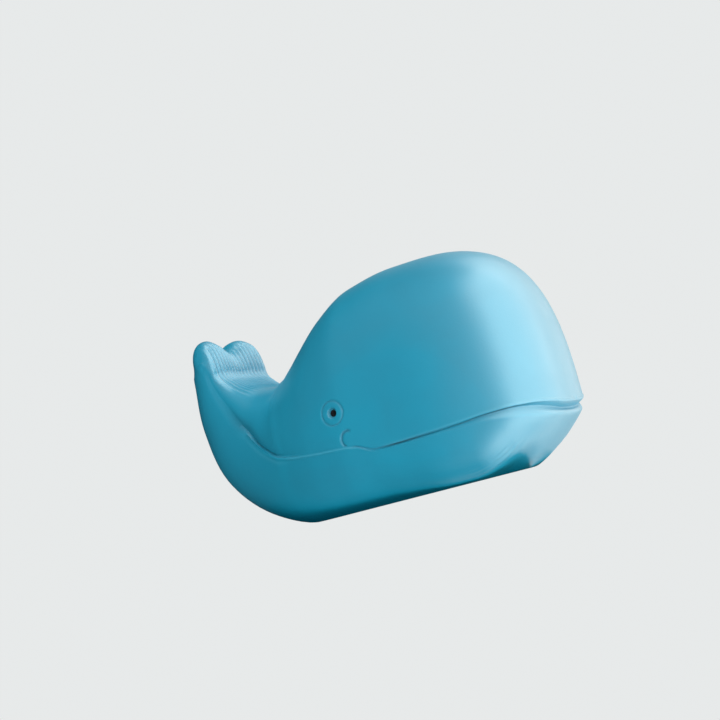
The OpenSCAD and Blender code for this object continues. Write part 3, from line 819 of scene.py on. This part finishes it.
# %% Plastics of the squeaker
# Each piece: the finish's name, its dark and its pale tone, and the range of its roughness
finishes = {
    "squeaker_cup": ("cup_plastic", (0.79, 0.76, 0.66), (0.86, 0.83, 0.75), (0.46, 0.36)),
    "squeaker_cap": ("cap_plastic", (0.84, 0.81, 0.73), (0.9, 0.88, 0.82), (0.44, 0.34)),
    "reed_block": ("block_plastic", (0.65, 0.6, 0.48), (0.73, 0.68, 0.56), (0.5, 0.4)),
    "reed": ("reed_film", (0.55, 0.44, 0.21), (0.61, 0.5, 0.27), (0.3, 0.2)),
    "reed_wedge": ("wedge_plastic", (0.45, 0.45, 0.42), (0.51, 0.51, 0.48), (0.5, 0.42)),
}
for node_name, (name, dark, pale, rough) in finishes.items():
    plastic = moulded(name, dark, pale, rough, scales=(4200, 140, 2400), bump=0.08, depth=0.0001, IOR=1.49)[0]
    frame["nodes"][node_name].data.materials.clear()
    frame["nodes"][node_name].data.materials.append(plastic)
print("finished", list(finishes))

# %% [markdown]
# ## Floor and background
# The toy stands in a white studio on a pale floor. A photographer would sweep paper up behind it. Here
# the floor's paint turns clear with the distance from the toy, so that no horizon shows, and a uniform
# pale world takes over. From below it is clear as well, so that the squeaker can be looked at. The floor
# takes the toy's shadow but sends no light back, because bounced light would brighten the shaded belly.

# %% Floor
floor_half = 1.5
floor_clear_from, floor_clear_to = 0.1, 0.25
floor_tone = (0.93, 0.94, 0.94)
corners = np.array([[-1, -1, 0], [1, -1, 0], [1, 1, 0], [-1, 1, 0]])
floor = new_object("floor", corners * floor_half / MM, [[0, 1, 2, 3]])
floor.visible_diffuse = floor.visible_glossy = floor.visible_shadow = False


def flat_paint(name, tone):
    """Matte material without any gloss, with its node tree."""
    material = bpy.data.materials.new(name)
    material.use_nodes = True
    shader = material.node_tree.nodes["Principled BSDF"]
    shader.inputs["Base Color"].default_value = (*tone, 1)
    shader.inputs["Roughness"].default_value = 1.0
    shader.inputs["Specular IOR Level"].default_value = 0.0
    return material, material.node_tree


def shown_where(tree, base, over, shares):
    """Chain of Mix Shader nodes: the base, and the other shader wherever one of the outputs is 1."""
    for share in shares:
        blend = tree.nodes.new("ShaderNodeMixShader")
        for source, socket in zip((share, base, over), blend.inputs):
            tree.links.new(source, socket)
        base = blend.outputs["Shader"]
    return base


def clear_where(tree, *shares):
    """Makes a paint clear wherever one of the given outputs is 1."""
    clear = tree.nodes.new("ShaderNodeBsdfTransparent").outputs["BSDF"]
    shown = shown_where(tree, tree.nodes["Principled BSDF"].outputs["BSDF"], clear, shares)
    tree.links.new(shown, tree.nodes["Material Output"].inputs["Surface"])


floor_paint, tree = flat_paint("floor_paint", floor_tone)
where = tree.nodes.new("ShaderNodeTexCoord")
length = tree.nodes.new("ShaderNodeVectorMath")
length.operation = "LENGTH"
tree.links.new(where.outputs["Object"], length.inputs[0])
far = remap(tree, length.outputs["Value"], floor_clear_from, floor_clear_to, 0.0, 1.0)
from_below = tree.nodes.new("ShaderNodeNewGeometry").outputs["Backfacing"]
clear_where(tree, far, from_below)
floor.data.materials.append(floor_paint)
print("floor", 2 * floor_half, "m wide")

# %% World
world = bpy.data.worlds.new("studio")
bpy.context.scene.world = world
world.use_nodes = True
tree = world.node_tree
ambient_tone, background_tone = (0.285, 0.285, 0.285), (0.8, 0.82, 0.82)
path = tree.nodes.new("ShaderNodeLightPath")
tree.nodes["Background"].inputs["Color"].default_value = (*ambient_tone, 1)
ambient = tree.nodes["Background"].outputs["Background"]
background = add(tree, "ShaderNodeBackground", Color=(*background_tone, 1)).outputs["Background"]
rays = [path.outputs[ray] for ray in ("Is Camera Ray", "Is Glossy Ray", "Is Transmission Ray")]
shown = shown_where(tree, ambient, background, rays)
tree.links.new(shown, tree.nodes["World Output"].inputs["Surface"])
print("world tones", ambient_tone, background_tone)

# %% [markdown]
# ## Light
# A tall window in front of the snout makes the pale veil there, because matte rubber mirrors more at a
# shallow angle, and a pale wall beside it lets the veil fade out. Both show only as gloss. Soft lights
# for the colour stand all round the toy and don't show as gloss. One lamp for both would be simpler, but
# then the veil and the colour could not be balanced against each other.


# %% Light panels
def look_axes(backward):
    """Columns right, up and backward of something that looks along minus backward and stands upright."""
    back = unit(backward)
    right = unit(np.cross([0, 0, 1], back))
    return np.stack([right, np.cross(back, right), back], -1)


def place(thing, at, axes):
    """Sets a light or camera at a point in metres, with the three axes as its columns."""
    matrix = np.eye(4)
    matrix[:3, :3], matrix[:3, 3] = axes, at
    thing.matrix_world = Matrix(matrix.tolist())
    return thing


# Middle of the toy in the picture, which the lights and the camera face, in metres
centre = np.array([0.0035, 0, 0.036])
panel_far = 0.85
window_tone = (1, 0.95, 0.86)


def panel(name, toward, width, height, radiance, as_gloss):
    """Soft light of a given brightness, standing in a direction from the toy and facing it. It shows
    either only as gloss, slightly warm, or only as light on the colour."""
    lamp = bpy.data.lights.new(name, "AREA")
    lamp.shape, lamp.size, lamp.size_y = "RECTANGLE", width, height
    lamp.energy = radiance * np.pi * width * height
    lamp.color = window_tone if as_gloss else (1, 1, 1)
    thing = bpy.data.objects.new(name, lamp)
    bpy.context.scene.collection.objects.link(thing)
    thing.visible_camera = False
    thing.visible_glossy, thing.visible_diffuse = as_gloss, not as_gloss
    return place(thing, centre + panel_far * unit(toward), look_axes(toward))


# Each light: its direction from the toy, its width and height, its brightness, and whether it is gloss
panels = [
    panel("window", (0.98, 0.14, 0.1), 1.45, 3.1, 2.95, True),
    panel("pale_wall", (0.48, 0.87, 0.17), 0.6, 2.8, 1.5, True),
    panel("light_above", (0.1, -0.3, 0.95), 1.0, 1.0, 1.25, False),
    panel("light_beside", (0.5, -0.85, 0.2), 1.0, 1.0, 0.85, False),
    panel("light_ahead", (0.85, -0.5, 0.1), 1.0, 1.0, 0.35, False),
    panel("light_below", (0.5, -0.4, -0.78), 1.0, 1.0, 1.45, False),
    panel("light_behind", (-0.4, 0.85, 0.35), 1.0, 1.0, 0.6, False)]
print("lights:", [thing.name for thing in panels])

# %% [markdown]
# Black cloth is as much a part of a studio as light. A canopy of black felt keeps the pale background
# from showing as gloss on the flank, and leaves only the front open. A dark sea-green film lies under the
# toy, so that the hollow of the throat and the edge of the belly stay dark. Under the flat of the belly it
# has a hole, so that the squeaker is lit.


# %% Black canopy
canopy_r, canopy_columns, canopy_rows = 700.0, 72, 36
open_azimuths = (-60, -35, 85, 140)
open_elevations = (-80, -60, 65, 85)
near_pole = 89
felt_tone = (0.02, 0.02, 0.02)


def canopy_surface(radius, columns, rows):
    """Sphere about the toy, with rows from pole to pole and columns once round, and on its points the
    share of the opening, which has soft edges in azimuth and elevation. Faces all in the opening are
    left out."""
    around, up = np.meshgrid(np.linspace(-180, 180, columns + 1),
                             np.linspace(-near_pole, near_pole, rows + 1), indexing="ij")
    share = (span(around, *open_azimuths) * span(up, *open_elevations)).ravel()
    around, up = np.radians([around, up])
    ball = np.stack([np.cos(up) * np.cos(around), np.cos(up) * np.sin(around), np.sin(up)], -1).reshape(-1, 3)
    ids = np.arange(len(ball)).reshape(around.shape)
    quads = np.stack([ids[:-1, :-1], ids[:-1, 1:], ids[1:, 1:], ids[1:, :-1]], -1).reshape(-1, 4)
    return centre / MM + radius * ball, quads[share[quads].min(-1) < 1].tolist(), share


canopy_points, canopy_faces, opening = canopy_surface(canopy_r, canopy_columns, canopy_rows)
canopy = new_object("black_canopy", canopy_points, canopy_faces)
canopy.visible_camera = canopy.visible_diffuse = canopy.visible_shadow = False
store_mark(canopy, "opening", opening)
felt, tree = flat_paint("black_felt", felt_tone)
clear_where(tree, mark(tree, "opening"))
canopy.data.materials.append(felt)
print("canopy of", len(canopy.data.polygons), "faces")

# %% Dark film under the toy
film_l, film_w, film_x, film_z = 55.5, 25.5, -5.0, -0.2
film_notch, film_notch_w = 7.0, 8.0
film_places = 90
film_tone = (0.008, 0.18, 0.2)
hole_l, hole_w, hole_x = 32.0, 9.6, 6.0


def film_surface(count):
    """Ring between two superellipses of power 4, whose root of cos and sin keeps their signs. The front
    of the outer one is drawn back at the keel by a bell curve."""
    spin = 2 * np.pi * np.arange(count) / count
    along, across = (np.sign(part) * np.sqrt(np.abs(part)) for part in (np.cos(spin), np.sin(spin)))
    drawn_back = film_notch * swell(film_w * across, film_notch_w) * (along > 0)
    level = np.full(count, film_z)
    rim = np.stack([film_x + film_l * along - drawn_back, film_w * across, level], -1)
    hole = np.stack([hole_x + hole_l * along, hole_w * across, level], -1)
    ids = np.arange(count)
    after = np.roll(ids, -1)
    return np.concatenate([rim, hole]), np.stack([ids, after, after + count, ids + count], -1).tolist()


film = new_object("dark_film", *film_surface(film_places))
film.visible_camera = False
film_paint = bpy.data.materials.new("dark_film")
film_paint.use_nodes = True
tree = film_paint.node_tree
tinted = add(tree, "ShaderNodeBsdfTransparent", Color=(*film_tone, 1))
tree.links.new(tinted.outputs["BSDF"], tree.nodes["Material Output"].inputs["Surface"])
film.data.materials.append(film_paint)
print("film of", len(film.data.vertices), "points")

# %% [markdown]
# ## Camera
# The toy is seen from its right and slightly from below, with the camera at the floor's height, so that
# the floor shows as no more than a line. The camera is tipped so that the snout points up. The toy isn't
# in the middle of the picture, so the camera turns a little past it. A shift of the lens would do that
# too, but it would stay in every other view.

# %% Camera at the photograph's angle
image_px = 720
focal_px = 1559.0
toy_px = np.array([390.0, 389.0])
camera_far = 0.506
azimuth, roll = np.radians([24.0, 14.5])
elevation = -np.arcsin(centre[2] / camera_far)

camera_data = bpy.data.cameras.new("camera")
camera_data.sensor_width = 36.0
camera_data.lens = camera_data.sensor_width * focal_px / image_px
camera_data.clip_start = 0.01
camera = bpy.data.objects.new("camera", camera_data)
bpy.context.scene.collection.objects.link(camera)
bpy.context.scene.camera = camera


def turn_to(a, b):
    """Shortest rotation that takes unit vector a to unit vector b."""
    axis = np.cross(a, b)
    skew = np.array([[0, -axis[2], axis[1]], [axis[2], 0, -axis[0]], [-axis[1], axis[0], 0]])
    return np.eye(3) + skew + skew @ skew / (1 + a @ b)


level = np.cos(elevation)
backward = np.array([np.sin(azimuth) * level, -np.cos(azimuth) * level, np.sin(elevation)])
tip = np.array([[np.cos(roll), np.sin(roll), 0], [-np.sin(roll), np.cos(roll), 0], [0, 0, 1]])
off_x, off_y = toy_px - image_px / 2
aside = turn_to(unit([off_x, -off_y, -focal_px]), np.array([0, 0, -1.0]))
place(camera, centre + camera_far * backward, look_axes(backward) @ tip @ aside)
print("camera at", [round(value, 3) for value in camera.location])

# %% [markdown]
# ## Colour view
# The view transform stays plain, so that colours render as they are written.

# %% Finish
bpy.context.scene.view_settings.view_transform = "Standard"
